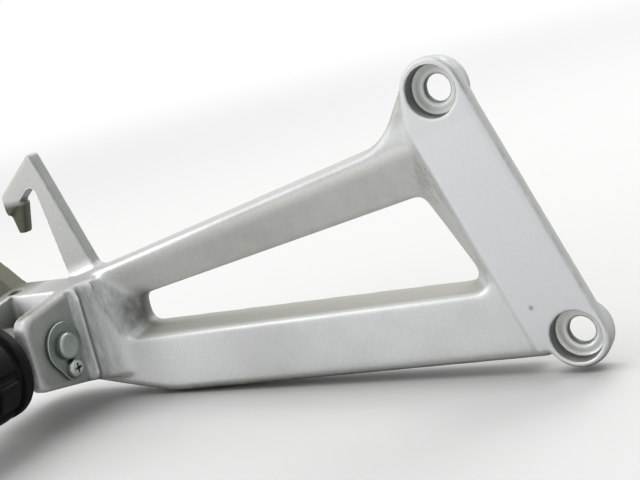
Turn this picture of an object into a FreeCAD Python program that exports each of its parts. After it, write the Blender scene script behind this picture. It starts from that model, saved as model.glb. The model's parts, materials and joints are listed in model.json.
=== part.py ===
# Passenger footrest bracket: a cast aluminium bracket with two bolt bosses, a clevis head, a luggage hook,
# and a folding footpeg.  X runs to the front of the motorbike, Y inboard and Z up, all sizes in millimetres.
# The origin is the centre of the two-bolt pattern on the mounting face.
import FreeCAD, Part
import math
import os
import Sketcher

os.makedirs("parts", exist_ok=True)
doc = FreeCAD.newDocument("footrest_bracket")
sheet = doc.addObject("Spreadsheet::Sheet", "Sizes")

SIZES = {
    # mounting plate with its two bolt bosses, measured along and across the line of the bolts
    "bolt_spacing": 90.0,
    "bolt_lean": 20.0,
    "bolt_bore_radius": 4.5,
    "bolt_seat_radius": 8.6,
    "bolt_seat_depth": 5.5,
    "bore_chamfer": 0.8,
    "boss_radius": 10.6,
    "boss_depth": 9.0,
    "plate_depth": 5.0,
    "plate_end": 11.0,
    "end_flat": 0.1,
    "plate_rear": 15.0,
    "shoulder_turn": 24.0,
    "plate_foot": 46.0,
    "foot_radius": 1.2,
    "foot_wrap": 15.0,
    "foot_lift": 2.2,
    "plate_edge_radius": 0.8,
    # two arms and the root of the head
    "face_inset": 1.0,
    "back_reach": 5.0,
    "pad_proud": 1.0,
    "tab_room": 17.0,
    "arm_lap": 12.0,
    "crest_slope": 0.225,
    "crest_height": 36.3,
    "crook_x": -38.0,
    "crook_radius": 22.0,
    "neck_x": -25.8,
    "neck_z": 46.5,
    "foot_z": -49.7,
    "heel_x": -150.0,
    "heel_z": -54.8,
    "heel_radius": 60.0,
    "tail_x": -214.0,
    "tail_z": -43.0,
    "tail_cut": 9.0,
    "sole_radius": 4.0,
    "crest_radius": 2.2,
    "back_radius": 1.5,
    # window between the arms: the rim is where its flared mouth meets the front face
    "crest_band": 2.6,
    "rim_rear_top_x": -170.0,
    "rim_rear_low_x": -165.0,
    "rim_rear_low_z": -31.7,
    "rim_front_low_z": -25.3,
    "rim_radius": 5.0,
    "rim_gap": 1.3,
    "mouth": 11.0,
    "window_step": 1.0,
    "window_rear_x": -158.5,
    "window_rear_top_z": -16.4,
    "window_rear_low_z": -27.7,
    "window_front_top_x": -30.6,
    "window_front_top_z": 7.7,
    "window_front_low_x": -13.9,
    "window_front_low_z": -23.8,
    "window_radius": 4.0,
    # clevis head
    "pin_y": -29.0,
    "pin_z": -25.0,
    "cheek_front_x": -178.0,
    "cheek_width": 6.0,
    "rear_cheek_width": 7.0,
    "slot_width": 23.0,
    "slot_floor_y": -18.5,
    "cheek_end_y": -45.5,
    "head_top_z": -5.0,
    "head_low_z": -46.0,
    "cheek_end_top_z": -9.5,
    "cheek_end_low_z": -37.7,
    "flare_radius": 9.0,
    "flare_run": 13.0,
    "flare_rise": 6.0,
    "flare_blend": 24.0,
    "flare_sink": 0.15,
    "cheek_top_radius": 6.0,
    "cheek_low_radius": 5.0,
    "cheek_edge_radius": 2.4,
    "drain_radius": 2.7,
    "drain_depth": 6.0,
    "drain_x": -208.6,
    "drain_y": -14.0,
    # luggage hook and rear prong
    "hook_face": 5.6,
    "hook_depth": 5.8,
    "hook_root_front_x": -172.6,
    "hook_root_rear_x": -185.9,
    "hook_apex_x": -189.6,
    "hook_apex_z": 46.5,
    "hook_elbow_x": -210.2,
    "hook_elbow_z": 30.6,
    "hook_tip_x": -209.2,
    "hook_tip_z": 21.8,
    "hook_crotch_x": -192.0,
    "hook_crotch_z": 34.7,
    "hook_crotch_radius": 2.7,
    "hook_elbow_radius": 4.0,
    "hook_apex_radius": 1.2,
    "hook_foot_radius": 4.0,
    "hook_foot_run": 7.0,
    "hook_foot_sink": 0.3,
    "claw_root_z": 27.5,
    "claw_root_x": -204.0,
    "claw_root_width": 10.0,
    "claw_end_x": -206.4,
    "claw_end_y": -0.7,
    "claw_end_z": 14.8,
    "claw_end_width": 4.2,
    "claw_depth": 4.6,
    "claw_radius": 1.2,
    "prong_face": 6.0,
    "prong_depth": 10.0,
    "prong_rise": 43.0,
    "prong_width": 12.0,
    "prong_length": 27.0,
    "prong_root_x": -218.0,
    "prong_root_z": -15.6,
    # pivot pin, its keeper plate and screw
    "pin_radius": 5.0,
    "pin_fit": 0.03,
    "pin_proud": 2.6,
    "pin_short": 0.5,
    "pin_edge": 0.6,
    "keeper_depth": 1.6,
    "keeper_radius": 9.2,
    "keeper_tail_radius": 4.6,
    "keeper_turn": 6.0,
    "screw_drop": 9.4,
    "screw_radius": 2.0,
    "screw_fit": 0.05,
    "screw_length": 4.0,
    "screw_head_radius": 3.6,
    "screw_head_height": 2.5,
    "recess_width": 0.9,
    "recess_span": 3.8,
    "recess_depth": 1.4,
    # spring washer beside the lug
    "washer_gap": 1.2,
    "washer_radius": 9.0,
    "washer_depth": 0.5,
    "washer_cone": 0.4,
    "side_clearance": 0.2,
    # footpeg bar
    "bar_bore_fit": 0.05,
    "lug_radius": 9.5,
    "lug_neck": 8.5,
    "stop_clearance": 0.25,
    "stop_height": 7.0,
    "stop_radius": 2.0,
    "peg_offset": 3.5,
    "bar_radius": 9.5,
    "flange_radius": 13.0,
    "flange_start": 21.5,
    "flange_depth": 2.5,
    "barb_radius": 10.6,
    "barb_length": 8.0,
    "barb_lead": 1.0,
    # footpeg rubber
    "rubber_fit": 0.05,
    "rubber_start": 21.7,
    "rubber_length": 79.0,
    "rubber_cap": 6.7,
    "rubber_radius": 18.5,
    "collar_length": 5.0,
    "tread_depth": 2.2,
    "tread_rows": 5,
    "tread_row_gap": 2.6,
    "tread_columns": 8,
    "tread_column_gap": 3.4,
    "rubber_end_radius": 5.0,
}
for row, (name, value) in enumerate(SIZES.items(), start=1):
    sheet.set(f"A{row}", name)
    sheet.set(f"B{row}", str(value))
    sheet.setAlias(f"B{row}", name)
doc.recompute()


def sized(text):
    """A formula over the sheet's names, written for the expression engine."""
    for name in sorted(SIZES, key=len, reverse=True):
        text = text.replace(f"<{name}>", f"Sizes.{name}")
    return text


def number(text):
    """The present value of a formula over the sheet's names."""
    value = sheet.evalExpression(sized(text))
    return float(getattr(value, "Value", value))


def new_body(name, place=None):
    """An empty body, set down at a point given as three formulas."""
    body = doc.addObject("PartDesign::Body", name)
    body.Label = name
    for axis, text in zip("xyz", place or ()):
        body.setExpression(f".Placement.Base.{axis}", sized(text))
    return body


def new_sketch(body, name, plane, away="0", turn=None):
    """A sketch on one of the body's own planes, moved along its normal and turned in the plane."""
    sketch = body.newObject("Sketcher::SketchObject", name)
    support = [o for o in body.Origin.OriginFeatures if o.Role == plane][0]
    sketch.AttachmentSupport = [(support, "")]
    sketch.MapMode = "FlatFace"
    if turn:
        sketch.AttachmentOffset = FreeCAD.Placement(
            FreeCAD.Vector(0, 0, 0), FreeCAD.Rotation(FreeCAD.Vector(0, 0, 1), number(turn)))
        sketch.setExpression(".AttachmentOffset.Rotation.Angle", sized(turn))
    sketch.setExpression(".AttachmentOffset.Base.z", sized(away))
    return sketch


def pin_down(sketch, label, geometry, place, across, up):
    """Holds one point of a sketch at two formulas, measured from the sketch's origin."""
    for kind, text in (("DistanceX", across), ("DistanceY", up)):
        index = sketch.addConstraint(Sketcher.Constraint(kind, -1, 1, geometry, place, number(text)))
        sketch.renameConstraint(index, f"{label}_{kind}")
        sketch.setExpression(f"Constraints.{label}_{kind}", sized(text))


def add_circles(sketch, circles):
    """Circles given as formulas for their centre and radius."""
    for i, (across, up, radius) in enumerate(circles):
        centre = FreeCAD.Vector(number(across), number(up), 0)
        circle = sketch.addGeometry(Part.Circle(centre, FreeCAD.Vector(0, 0, 1), number(radius)))
        pin_down(sketch, f"centre{i}", circle, 3, across, up)
        index = sketch.addConstraint(Sketcher.Constraint("Radius", circle, number(radius)))
        sketch.renameConstraint(index, f"radius{i}")
        sketch.setExpression(f"Constraints.radius{i}", sized(radius))


def add_outline(sketch, corners):
    """A closed outline through corners (across, up) or rounded corners (across, up, radius)."""
    points = [FreeCAD.Vector(number(c[0]), number(c[1]), 0) for c in corners]
    count = len(points)
    starts, ends, arcs = list(points), list(points), [None] * count
    for i, corner in enumerate(corners):
        if len(corner) < 3:
            continue
        back = (points[i - 1] - points[i]).normalize()
        on = (points[(i + 1) % count] - points[i]).normalize()
        half = back.getAngle(on) / 2
        radius = number(corner[2])
        reach = radius / math.tan(half)
        ends[i] = points[i] + back * reach
        starts[i] = points[i] + on * reach
        middle = points[i] + (back + on).normalize() * (radius / math.sin(half))
        convex = back.cross(on).z < 0
        first, last = (ends[i], starts[i]) if convex else (starts[i], ends[i])
        angles = [math.atan2(p.y - middle.y, p.x - middle.x) for p in (first, last)]
        circle = Part.Circle(middle, FreeCAD.Vector(0, 0, 1), radius)
        arcs[i] = (sketch.addGeometry(Part.ArcOfCircle(circle, *angles)), convex)
    lines = [sketch.addGeometry(Part.LineSegment(starts[i], ends[(i + 1) % count])) for i in range(count)]
    for i, corner in enumerate(corners):
        before, after = lines[i - 1], lines[i]
        if arcs[i] is None:
            sketch.addConstraint(Sketcher.Constraint("Coincident", before, 2, after, 1))
            pin_down(sketch, f"corner{i}", after, 1, corner[0], corner[1])
            continue
        arc, convex = arcs[i]
        sketch.addConstraint(Sketcher.Constraint("Tangent", before, 2, arc, 1 if convex else 2))
        sketch.addConstraint(Sketcher.Constraint("Tangent", arc, 2 if convex else 1, after, 1))
        tip = sketch.addGeometry(Part.Point(points[i]), True)
        pin_down(sketch, f"corner{i}", tip, 1, corner[0], corner[1])
        sketch.addConstraint(Sketcher.Constraint("PointOnObject", tip, 1, before))
        sketch.addConstraint(Sketcher.Constraint("PointOnObject", tip, 1, after))
        index = sketch.addConstraint(Sketcher.Constraint("Radius", arc, number(corner[2])))
        sketch.renameConstraint(index, f"round{i}")
        sketch.setExpression(f"Constraints.round{i}", sized(corner[2]))


def outline(body, name, plane, corners, away="0", turn=None):
    """A sketch that holds one closed outline."""
    sketch = new_sketch(body, name, plane, away, turn)
    add_outline(sketch, corners)
    return sketch


def grow(body, name, sketch, length, kind="PartDesign::Pad", reverse=False):
    """A pad or a pocket of a stated length; a length of None goes right through."""
    feature = body.newObject(kind, name)
    feature.Profile = sketch
    feature.Reversed = reverse
    if length is None:
        feature.Type = "ThroughAll"
    else:
        feature.setExpression("Length", sized(length))
    sketch.Visibility = False
    doc.recompute()
    return feature


def cut(body, name, sketch, length, reverse=False):
    """A pocket that must take material away."""
    before = body.Tip.Shape.Volume
    feature = grow(body, name, sketch, length, "PartDesign::Pocket", reverse)
    if feature.Shape.Volume >= before - 0.01:
        raise ValueError(f"{name} took nothing away")
    return feature


def spin(body, name, sketch, axis, kind="PartDesign::Revolution"):
    """A full turn of a sketch about one of its own axes."""
    feature = body.newObject(kind, name)
    feature.Profile = sketch
    feature.ReferenceAxis = (sketch, [axis])
    feature.Angle = 360
    sketch.Visibility = False
    doc.recompute()
    return feature


def loft(body, name, first, last, kind):
    """A straight-sided loft between two sketches with the same number of corners."""
    feature = body.newObject(kind, name)
    feature.Profile = first
    feature.Sections = [last]
    feature.Ruled = True
    doc.recompute()
    return feature


def soften(body, name, radius, wanted, kind="PartDesign::Fillet", size="Radius"):
    """A fillet or chamfer on the edges of the body's tip that a test picks by their boxes."""
    tip = body.Tip
    picked = [f"Edge{i}" for i, edge in enumerate(tip.Shape.Edges, start=1) if wanted(edge.BoundBox, edge)]
    if not picked:
        raise ValueError(f"{name} found no edges")
    feature = body.newObject(kind, name)
    feature.Base = (tip, picked)
    feature.setExpression(size, sized(radius))
    doc.recompute()
    if "Invalid" in feature.State or not feature.Shape.isValid():
        raise ValueError(f"{name} failed on {picked}")
    return feature


def near(a, b, slack=0.02):
    return abs(a - b) < slack


# Bracket: the arms and the root of the head, one flat profile
bracket = new_body("bracket")
FACE = "(<boss_depth> - <face_inset>)"
CREST = "(<crest_height> + <crest_slope> * ({x}))"
SOLE_SLOPE = "(<heel_z> - <tail_z>) / (<heel_x> - <tail_x>)"
UNDER_PLATE = "-(<{lap}> + ({z}) * sin(<bolt_lean>)) / cos(<bolt_lean>)"
face_y = -number(FACE)
back_y = number("<back_reach>")
frame_sketch = outline(bracket, "frame_outline", "XZ_Plane", [
    (UNDER_PLATE.format(lap="arm_lap", z="<foot_z>"), "<foot_z>"),
    ("<neck_x>", "<neck_z>"),
    ("<crook_x>", CREST.format(x="<crook_x>"), "<crook_radius>"),
    ("<tail_x>", CREST.format(x="<tail_x>")),
    ("<tail_x>", "<tail_z> + <tail_cut>"),
    ("<tail_x> + <tail_cut>", f"<tail_z> + <tail_cut> * {SOLE_SLOPE}"),
    ("<heel_x>", "<heel_z>", "<heel_radius>"),
], away="-<back_reach>")
grow(bracket, "frame_pad", frame_sketch, f"<back_reach> + {FACE}")


def is_sole(box, edge):
    middle = edge.valueAt((edge.FirstParameter + edge.LastParameter) / 2)
    return box.YLength < 0.01 and near(middle.y, face_y) and middle.z < number("<tail_z>") - 0.5


def is_crest(box, edge):
    middle = edge.valueAt((edge.FirstParameter + edge.LastParameter) / 2)
    crest_z = number(CREST.format(x=str(middle.x)))
    return box.YLength < 0.01 and near(middle.y, face_y) and middle.z > crest_z - number("<crest_radius>")


def is_back(box, edge):
    return box.YLength < 0.01 and near(box.YMin, back_y)


soften(bracket, "sole_round", "<sole_radius>", is_sole)
soften(bracket, "crest_round", "<crest_radius>", is_crest)
soften(bracket, "back_round", "<back_radius>", is_back)

# Room at the back for the frame's tab, then the mounting plate and its bosses
tab_sketch = outline(bracket, "tab_outline", "XZ_Plane", [
    ("-<tab_room>", "-<bolt_spacing>"),
    ("<tab_room> * 2", "-<bolt_spacing>"),
    ("<tab_room> * 2", "<bolt_spacing>"),
    ("-<tab_room>", "<bolt_spacing>"),
], away="-<back_reach>", turn="<bolt_lean>")
cut(bracket, "tab_pocket", tab_sketch, "<back_reach> + <pad_proud>", reverse=True)
END_UP = "(<bolt_spacing> / 2 + <plate_end>)"
END_ROUND = "<plate_end> - <end_flat>"
SHOULDER_UP = "(<plate_end> - <plate_rear> * cos(<shoulder_turn>)) / sin(<shoulder_turn>)"
plate_sketch = outline(bracket, "plate_outline", "XZ_Plane", [
    ("<plate_end>", f"-{END_UP}", END_ROUND),
    ("<plate_end>", END_UP, END_ROUND),
    ("-<plate_end> * tan(45 - <shoulder_turn> / 2)", END_UP, END_ROUND),
    ("-<plate_rear>", f"<bolt_spacing> / 2 + {SHOULDER_UP}", "<plate_end>"),
    ("-<plate_rear>", "-<plate_foot>", "<foot_radius>"),
    ("-<plate_end> * cos(<foot_wrap>) - <foot_lift> * sin(<foot_wrap>)",
     "<foot_lift> * cos(<foot_wrap>) - <plate_end> * sin(<foot_wrap>) - <bolt_spacing> / 2", "<foot_radius>"),
    ("-<plate_end> * tan(45 - <foot_wrap> / 2)", f"-{END_UP}", END_ROUND),
], away="<boss_depth> - <plate_depth>", turn="<bolt_lean>")
grow(bracket, "plate_pad", plate_sketch, "<plate_depth>")
plate_y = -number("<boss_depth>")
soften(bracket, "plate_round", "<plate_edge_radius>",
       lambda box, edge: box.YLength < 0.01 and near(box.YMin, plate_y))
boss_sketch = new_sketch(bracket, "boss_circles", "XZ_Plane", turn="<bolt_lean>")
add_circles(boss_sketch, [("0", f"{side}<bolt_spacing> / 2", "<boss_radius>") for side in ("", "-")])
grow(bracket, "boss_pads", boss_sketch, "<boss_depth> - <plate_depth> + <pad_proud>")

# Clevis head: its plan with the flare into the front face, then its side profile
HEAD_REAR = "(<cheek_front_x> - <cheek_width> - <slot_width> - <rear_cheek_width>)"
head_sketch = outline(bracket, "head_plan", "XY_Plane", [
    (HEAD_REAR, "<cheek_end_y>"),
    ("<cheek_front_x>", "<cheek_end_y>"),
    ("<cheek_front_x>", f"-{FACE} - <flare_rise>", "<flare_radius>"),
    ("<cheek_front_x> + <flare_run>", f"<flare_sink> - {FACE}", "<flare_blend>"),
    ("<cheek_front_x> + 2 * <flare_run>", f"<flare_sink> - {FACE}"),
    ("<cheek_front_x> + 2 * <flare_run>", f"<sole_radius> - {FACE}"),
    (HEAD_REAR, f"<sole_radius> - {FACE}"),
], away="<head_low_z>")
grow(bracket, "head_pad", head_sketch, "<head_top_z> - <head_low_z>")
top_sketch = outline(bracket, "head_top_cut", "YZ_Plane", [
    (f"-{FACE}", "<head_top_z>"),
    (f"-{FACE}", "<head_top_z> + <slot_width>"),
    ("<cheek_end_y>", "<head_top_z> + <slot_width>"),
    ("<cheek_end_y>", "<cheek_end_top_z>"),
], away="<cheek_front_x> + 2 * <flare_run>")
cut(bracket, "head_top_pocket", top_sketch, None)
jaw_sketch = outline(bracket, "head_low_cut", "YZ_Plane", [
    (f"-{FACE}", "<head_low_z>"),
    ("<cheek_end_y>", "<cheek_end_low_z>"),
    ("<cheek_end_y>", "<head_low_z> - <slot_width>"),
    (f"-{FACE}", "<head_low_z> - <slot_width>"),
], away="<cheek_front_x> + 2 * <flare_run>")
cut(bracket, "head_low_pocket", jaw_sketch, None)
slot_sketch = outline(bracket, "slot_outline", "XY_Plane", [
    ("<cheek_front_x> - <cheek_width> - <slot_width>", "2 * <cheek_end_y>"),
    ("<cheek_front_x> - <cheek_width>", "2 * <cheek_end_y>"),
    ("<cheek_front_x> - <cheek_width>", "<slot_floor_y>"),
    ("<cheek_front_x> - <cheek_width> - <slot_width>", "<slot_floor_y>"),
], away="<head_top_z>")
cut(bracket, "slot_pocket", slot_sketch, None)
end_y = number("<cheek_end_y>")
cheek_x = number("<cheek_front_x>")


def is_cheek_corner(top):
    level = number("<cheek_end_top_z>" if top else "<cheek_end_low_z>")
    return lambda box, edge: near(box.YMin, end_y) and box.ZLength < 0.01 and near(box.ZMin, level)


soften(bracket, "cheek_top_round", "<cheek_top_radius>", is_cheek_corner(True))
soften(bracket, "cheek_low_round", "<cheek_low_radius>", is_cheek_corner(False))
soften(bracket, "cheek_edge_round", "<cheek_edge_radius>",
       lambda box, edge: near(box.XMin, cheek_x) and near(box.XMax, cheek_x) and box.YMin < number("<pin_y>"))

# Window: a flared mouth from the front face, then straight through to the back
SPREAD = f"((<mouth> - <window_step>) / ({FACE} - <window_step>))"
RIM_LINE = "(<crest_height> - <crest_band>)"
RIM_LAP = "(<plate_rear> + <rim_gap>)"
RIM_RUN = "(cos(<bolt_lean>) + <crest_slope> * sin(<bolt_lean>))"
RIM_TOP_X = f"(-({RIM_LAP} + {RIM_LINE} * sin(<bolt_lean>)) / {RIM_RUN})"
RIM = [
    ("<rim_rear_low_x>", "<rim_rear_low_z>"),
    (f"(-({RIM_LAP} + <rim_front_low_z> * sin(<bolt_lean>)) / cos(<bolt_lean>))", "<rim_front_low_z>"),
    (RIM_TOP_X, f"({RIM_LINE} + <crest_slope> * {RIM_TOP_X})"),
    ("<rim_rear_top_x>", f"({RIM_LINE} + <crest_slope> * <rim_rear_top_x>)"),
]
WINDOW = [
    ("<window_rear_x>", "<window_rear_low_z>"),
    ("<window_front_low_x>", "<window_front_low_z>"),
    ("<window_front_top_x>", "<window_front_top_z>"),
    ("<window_rear_x>", "<window_rear_top_z>"),
]
MOUTH_RADIUS = f"<window_radius> + (<rim_radius> - <window_radius>) * {SPREAD}"
mouth_corners = []
for (rim_x, rim_z), (window_x, window_z) in zip(RIM, WINDOW):
    mouth_corners.append((f"{window_x} + ({rim_x} - {window_x}) * {SPREAD}",
                          f"{window_z} + ({rim_z} - {window_z}) * {SPREAD}", MOUTH_RADIUS))
window_corners = [(x, z, "<window_radius>") for x, z in WINDOW]
mouth_sketch = outline(bracket, "mouth_outline", "XZ_Plane", mouth_corners, away="<mouth>")
throat_sketch = outline(bracket, "throat_outline", "XZ_Plane", window_corners, away="<window_step>")
loft(bracket, "window_mouth", mouth_sketch, throat_sketch, "PartDesign::SubtractiveLoft")
window_sketch = outline(bracket, "window_outline", "XZ_Plane", window_corners, away="<window_step> + 0.5")
cut(bracket, "window_pocket", window_sketch, None)

# Luggage hook on the crest, its claw bent inboard, and the rear prong
HOOK_FOOT_X = "(<hook_root_front_x> + <hook_foot_run>)"
hook_sketch = outline(bracket, "hook_outline", "XZ_Plane", [
    (HOOK_FOOT_X, CREST.format(x=HOOK_FOOT_X) + " - <hook_foot_radius>"),
    (HOOK_FOOT_X, CREST.format(x=HOOK_FOOT_X) + " - <hook_foot_sink>"),
    ("<hook_root_front_x>", CREST.format(x="<hook_root_front_x>") + " - <hook_foot_sink>",
     "<hook_foot_radius>"),
    ("<hook_apex_x>", "<hook_apex_z>", "<hook_apex_radius>"),
    ("<hook_elbow_x>", "<hook_elbow_z>", "<hook_elbow_radius>"),
    ("<hook_tip_x>", "<hook_tip_z>", "<hook_apex_radius>"),
    ("<hook_crotch_x>", "<hook_crotch_z>", "<hook_crotch_radius>"),
    ("<hook_root_rear_x>", "<head_top_z> * 2"),
], away="<hook_face> - <hook_depth>")
grow(bracket, "hook_pad", hook_sketch, "<hook_depth>")


def rounded_box(middle_x, middle_y, width, depth, radius):
    """Corners of a rounded rectangle about a middle point."""
    return [(f"{middle_x} {a} {width} / 2", f"{middle_y} {b} {depth} / 2", radius)
            for a, b in (("-", "-"), ("+", "-"), ("+", "+"), ("-", "+"))]


claw_root = outline(bracket, "claw_root", "XY_Plane", rounded_box(
    "<claw_root_x>", "<hook_depth> / 2 - <hook_face>", "<claw_root_width>",
    "<claw_depth>", "<claw_radius>"), away="<claw_root_z>")
claw_end = outline(bracket, "claw_end", "XY_Plane", rounded_box(
    "<claw_end_x>", "<claw_end_y>", "<claw_end_width>", "<claw_depth>", "<claw_radius>"), away="<claw_end_z>")
loft(bracket, "claw", claw_root, claw_end, "PartDesign::AdditiveLoft")


def along_prong(reach, side):
    """A point of the prong, measured along its rise and to one side of its middle line."""
    return (f"<prong_root_x> - ({reach}) * cos(<prong_rise>) + ({side}) * sin(<prong_rise>)",
            f"<prong_root_z> + ({reach}) * sin(<prong_rise>) + ({side}) * cos(<prong_rise>)")


PRONG_END = "<prong_width> / 2 - 0.2"
prong_sketch = outline(bracket, "prong_outline", "XZ_Plane", [
    along_prong("-<prong_width>", "-<prong_width> / 2"),
    along_prong("-<prong_width>", "<prong_width> / 2"),
    along_prong("<prong_length>", "<prong_width> / 2") + (PRONG_END,),
    along_prong("<prong_length>", "-<prong_width> / 2") + (PRONG_END,),
], away="<prong_face> - <prong_depth>")
grow(bracket, "prong_pad", prong_sketch, "<prong_depth>")

# Bolt holes with their seats, the pin's bore, the keeper screw's hole and a drilled hole in the rear cheek
BOLTS = [("0", f"{side}<bolt_spacing> / 2") for side in ("", "-")]
seat_sketch = new_sketch(bracket, "seat_circles", "XZ_Plane", away="<boss_depth>", turn="<bolt_lean>")
add_circles(seat_sketch, [(x, z, "<bolt_seat_radius>") for x, z in BOLTS])
cut(bracket, "seat_pockets", seat_sketch, "<bolt_seat_depth>")
bore_sketch = new_sketch(bracket, "bore_circles", "XZ_Plane", away="<boss_depth>", turn="<bolt_lean>")
add_circles(bore_sketch, [(x, z, "<bolt_bore_radius>") for x, z in BOLTS])
cut(bracket, "bore_pockets", bore_sketch, None)
bore_radius = number("<bolt_bore_radius>")
seat_y = number("<bolt_seat_depth> - <boss_depth>")
soften(bracket, "bore_chamfers", "<bore_chamfer>",
       lambda box, edge: near(box.YMin, seat_y) and near(box.XLength, 2 * bore_radius, 0.1),
       "PartDesign::Chamfer", "Size")
SCREW_Y = "(<pin_y> + <screw_drop> * sin(<keeper_turn>))"
SCREW_Z = "(<pin_z> - <screw_drop> * cos(<keeper_turn>))"
pin_sketch = new_sketch(bracket, "pin_circle", "YZ_Plane", away="<cheek_front_x> + 1")
add_circles(pin_sketch, [("<pin_y>", "<pin_z>", "<pin_radius> + <pin_fit>")])
cut(bracket, "pin_bore", pin_sketch, None)
screw_sketch = new_sketch(bracket, "screw_circle", "YZ_Plane", away="<cheek_front_x>")
add_circles(screw_sketch, [(SCREW_Y, SCREW_Z, "<screw_radius> + <screw_fit>")])
cut(bracket, "screw_hole", screw_sketch, "<screw_length> + 1")
drain_sketch = new_sketch(bracket, "drain_circle", "XY_Plane", away="<head_top_z>")
add_circles(drain_sketch, [("<drain_x>", "<drain_y>", "<drain_radius>")])
cut(bracket, "drain_hole", drain_sketch, "<drain_depth> + 1")

# Pivot pin: a plain turned pin, its end standing through the keeper plate
SLOT_X = "(<cheek_front_x> - <cheek_width> - <slot_width> / 2)"
AT_PIN = (SLOT_X, "<pin_y>", "<pin_z>")
CHEEK_SIDE = "(<slot_width> / 2 + <cheek_width>)"
PIN_REAR = "(<slot_width> / 2 + <rear_cheek_width> - <pin_short>)"
pivot_pin = new_body("pivot_pin", AT_PIN)
pin_round = new_sketch(pivot_pin, "pin_round", "YZ_Plane", away=f"-{PIN_REAR}")
add_circles(pin_round, [("0", "0", "<pin_radius>")])
grow(pivot_pin, "pin_pad", pin_round, f"{PIN_REAR} + {CHEEK_SIDE} + <keeper_depth> + <pin_proud>")
soften(pivot_pin, "pin_edges", "<pin_edge>",
       lambda box, edge: box.XLength < 0.01, "PartDesign::Chamfer", "Size")

# Keeper plate: a teardrop stamping on the pin's end
pin_plate = new_body("pin_plate", AT_PIN)
plate_round = new_sketch(pin_plate, "keeper_round", "YZ_Plane", away=CHEEK_SIDE, turn="<keeper_turn>")
add_circles(plate_round, [("0", "0", "<keeper_radius>")])
grow(pin_plate, "keeper_pad", plate_round, "<keeper_depth>")
LEAN = "asin((<keeper_radius> - <keeper_tail_radius>) / <screw_drop>)"
tail_round = outline(pin_plate, "keeper_tail", "YZ_Plane", [
    (f"<keeper_tail_radius> * cos({LEAN})", f"-<screw_drop> - <keeper_tail_radius> * sin({LEAN})"),
    (f"<keeper_radius> * cos({LEAN})", f"-<keeper_radius> * sin({LEAN})"),
    ("0", "0"),
    (f"-<keeper_radius> * cos({LEAN})", f"-<keeper_radius> * sin({LEAN})"),
    (f"-<keeper_tail_radius> * cos({LEAN})", f"-<screw_drop> - <keeper_tail_radius> * sin({LEAN})"),
], away=CHEEK_SIDE, turn="<keeper_turn>")
grow(pin_plate, "keeper_tail_pad", tail_round, "<keeper_depth>")
tail_tip = new_sketch(pin_plate, "keeper_tip", "YZ_Plane", away=CHEEK_SIDE, turn="<keeper_turn>")
add_circles(tail_tip, [("0", "-<screw_drop>", "<keeper_tail_radius>")])
grow(pin_plate, "keeper_tip_pad", tail_tip, "<keeper_depth>")
keeper_holes = new_sketch(
    pin_plate, "keeper_holes", "YZ_Plane", away=f"{CHEEK_SIDE} + <keeper_depth>", turn="<keeper_turn>")
add_circles(keeper_holes, [
    ("0", "0", "<pin_radius> + <pin_fit>"),
    ("0", "-<screw_drop>", "<screw_radius> + <screw_fit>"),
])
cut(pin_plate, "keeper_hole_pockets", keeper_holes, None)

# Keeper screw: pan head with a cross recess
pin_screw = new_body("pin_screw", ("<cheek_front_x> + <keeper_depth>", SCREW_Y, SCREW_Z))
screw_profile = outline(pin_screw, "screw_profile", "XY_Plane", [
    ("-<screw_length> - <keeper_depth>", "0"),
    ("<screw_head_height>", "0"),
    ("<screw_head_height>", "<screw_head_radius>", "<screw_head_height> * 0.6"),
    ("0", "<screw_head_radius>"),
    ("0", "<screw_radius>"),
    ("-<screw_length> - <keeper_depth>", "<screw_radius>"),
])
spin(pin_screw, "screw_turned", screw_profile, "H_Axis")
RECESSES = [("across", "<recess_span>", "<recess_width>"), ("upright", "<recess_width>", "<recess_span>")]
for name, wide, tall in RECESSES:
    recess = outline(pin_screw, f"recess_{name}", "YZ_Plane", [
        (f"-{wide} / 2", f"-{tall} / 2"),
        (f"{wide} / 2", f"-{tall} / 2"),
        (f"{wide} / 2", f"{tall} / 2"),
        (f"-{wide} / 2", f"{tall} / 2"),
    ], away="<screw_head_height>")
    cut(pin_screw, f"recess_cut_{name}", recess, "<recess_depth>")

# Spring washer: a thin cone that takes up the play between the lug and the rear cheek
WASHER_SIDE = "(<slot_width> / 2 - (<washer_gap> - <washer_depth> - <washer_cone>) / 2)"
spring_washer = new_body("spring_washer", AT_PIN)
washer_profile = outline(spring_washer, "washer_profile", "XY_Plane", [
    (f"-{WASHER_SIDE}", "<pin_radius> + 0.4"),
    (f"<washer_depth> - {WASHER_SIDE}", "<pin_radius> + 0.4"),
    (f"<washer_depth> + <washer_cone> - {WASHER_SIDE}", "<washer_radius>"),
    (f"<washer_cone> - {WASHER_SIDE}", "<washer_radius>"),
])
spin(spring_washer, "washer_turned", washer_profile, "H_Axis")

# Footpeg bar: a flat lug with its stop heel, then a round bar with a flange and a barbed end
AT_PEG = (f"{SLOT_X} + <peg_offset>", "<pin_y>", "<pin_z>")
peg_bar = new_body("peg_bar", AT_PEG)
BAR_END = "(<rubber_start> + <rubber_length> - <rubber_cap>)"
HEEL = "(<slot_floor_y> - <pin_y> - <stop_clearance>)"
LUG_REAR = "(<slot_width> / 2 - <washer_gap>)"
LUG_REACH = "((<flange_start> + <rubber_start>) / 2)"
lug_sketch = outline(peg_bar, "lug_outline", "YZ_Plane", [
    (f"-{LUG_REACH}", "-<lug_neck>"),
    ("0", "-<lug_radius>"),
    (HEEL, "-<lug_radius>", "<stop_radius>"),
    (HEEL, "<stop_height> - <lug_radius>", "<stop_radius>"),
    ("<lug_radius> * 0.76", "<lug_radius> * 0.76", "<lug_radius> * 0.4"),
    ("-<lug_radius> * 0.3", "<lug_radius>"),
    (f"-{LUG_REACH}", "<lug_neck>"),
], away=f"-{LUG_REAR} - <peg_offset>")
grow(peg_bar, "lug_pad", lug_sketch, f"{LUG_REAR} + <slot_width> / 2 - <side_clearance>")
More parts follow.
